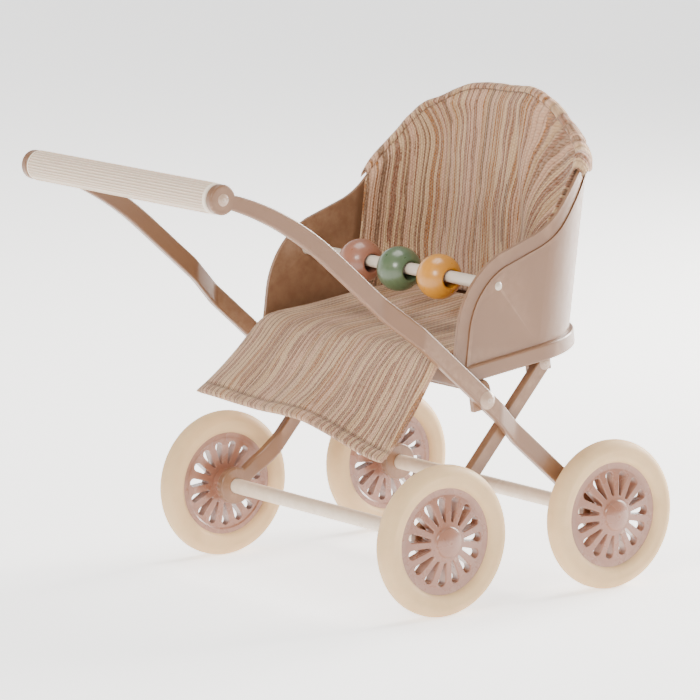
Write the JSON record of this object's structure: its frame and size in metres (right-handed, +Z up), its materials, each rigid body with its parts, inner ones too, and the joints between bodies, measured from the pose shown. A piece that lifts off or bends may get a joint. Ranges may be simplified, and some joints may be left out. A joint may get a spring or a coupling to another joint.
{
  "type": "doll stroller",
  "caption": "Miniature doll stroller: riveted metal strip frame, rolling slotted wheels, bucket seat with striped fabric liner, bead bar and push handle.",
  "frame": {"origin": "on the floor, under the centre of the bounding box", "axes": "+X towards the front wheels, the way it rolls forward; +Y to its left; +Z up"},
  "size_m": [0.118, 0.0892, 0.1068],
  "materials": {
    "painted_steel": "soft satin dusty beige-pink enamel",
    "rim_metal": "satin dusty pink-beige enamel",
    "cream_rubber": "matt cream rubber",
    "grip_plastic": "matt off-white, finely fluted",
    "rose_wood": "satin rose paint",
    "green_wood": "satin sage green paint",
    "mustard_wood": "satin mustard paint",
    "striped_fabric": "woven stripes in cream, dusty pink, ochre and taupe"
  },
  "bodies": {
    "frame": {"seat_pan": "painted_steel", "seat_shell": "painted_steel", "front_bracket": "painted_steel", "rear_bracket": "painted_steel", "bracket_rivets": "painted_steel", "handle_bar_left": "painted_steel", "handle_bar_right": "painted_steel", "leg_left": "painted_steel", "leg_right": "painted_steel", "bar_rivets": "painted_steel", "leg_rivets": "painted_steel", "handle_tie_rod": "painted_steel", "bead_rod": "painted_steel", "liner_panel": "striped_fabric", "liner_pocket": "striped_fabric"},
    "front_wheels": {"front_axle": "painted_steel", "rim_front_left": "rim_metal", "rim_front_right": "rim_metal", "tyre_front_left": "cream_rubber", "tyre_front_right": "cream_rubber"},
    "rear_wheels": {"rear_axle": "painted_steel", "rim_rear_left": "rim_metal", "rim_rear_right": "rim_metal", "tyre_rear_left": "cream_rubber", "tyre_rear_right": "cream_rubber"},
    "grip": {"handle_grip": "grip_plastic"},
    "bead_left": {"bead_rose": "rose_wood"},
    "bead_middle": {"bead_green": "green_wood"},
    "bead_right": {"bead_mustard": "mustard_wood"}
  },
  "joints": [
    {"name": "front_wheels_roll", "type": "hinge", "parent": "frame", "child": "front_wheels", "pos_m": [0.0425, 0, 0.0165], "axis": [0, 1, 0], "continuous": true},
    {"name": "rear_wheels_roll", "type": "hinge", "parent": "frame", "child": "rear_wheels", "pos_m": [-0.0035, 0, 0.0165], "axis": [0, 1, 0], "continuous": true},
    {"name": "grip_turns", "type": "hinge", "parent": "frame", "child": "grip", "pos_m": [-0.0557, 0, 0.0942], "axis": [0, 1, 0], "continuous": true},
    {"name": "bead_left_slides", "type": "slide", "parent": "frame", "child": "bead_left", "axis": [0, 1, 0], "range_m": [-0.002, 0.015]},
    {"name": "bead_middle_slides", "type": "slide", "parent": "frame", "child": "bead_middle", "axis": [0, 1, 0], "range_m": [-0.002, 0.002]},
    {"name": "bead_right_slides", "type": "slide", "parent": "frame", "child": "bead_right", "axis": [0, 1, 0], "range_m": [-0.015, 0.002]}
  ]
}
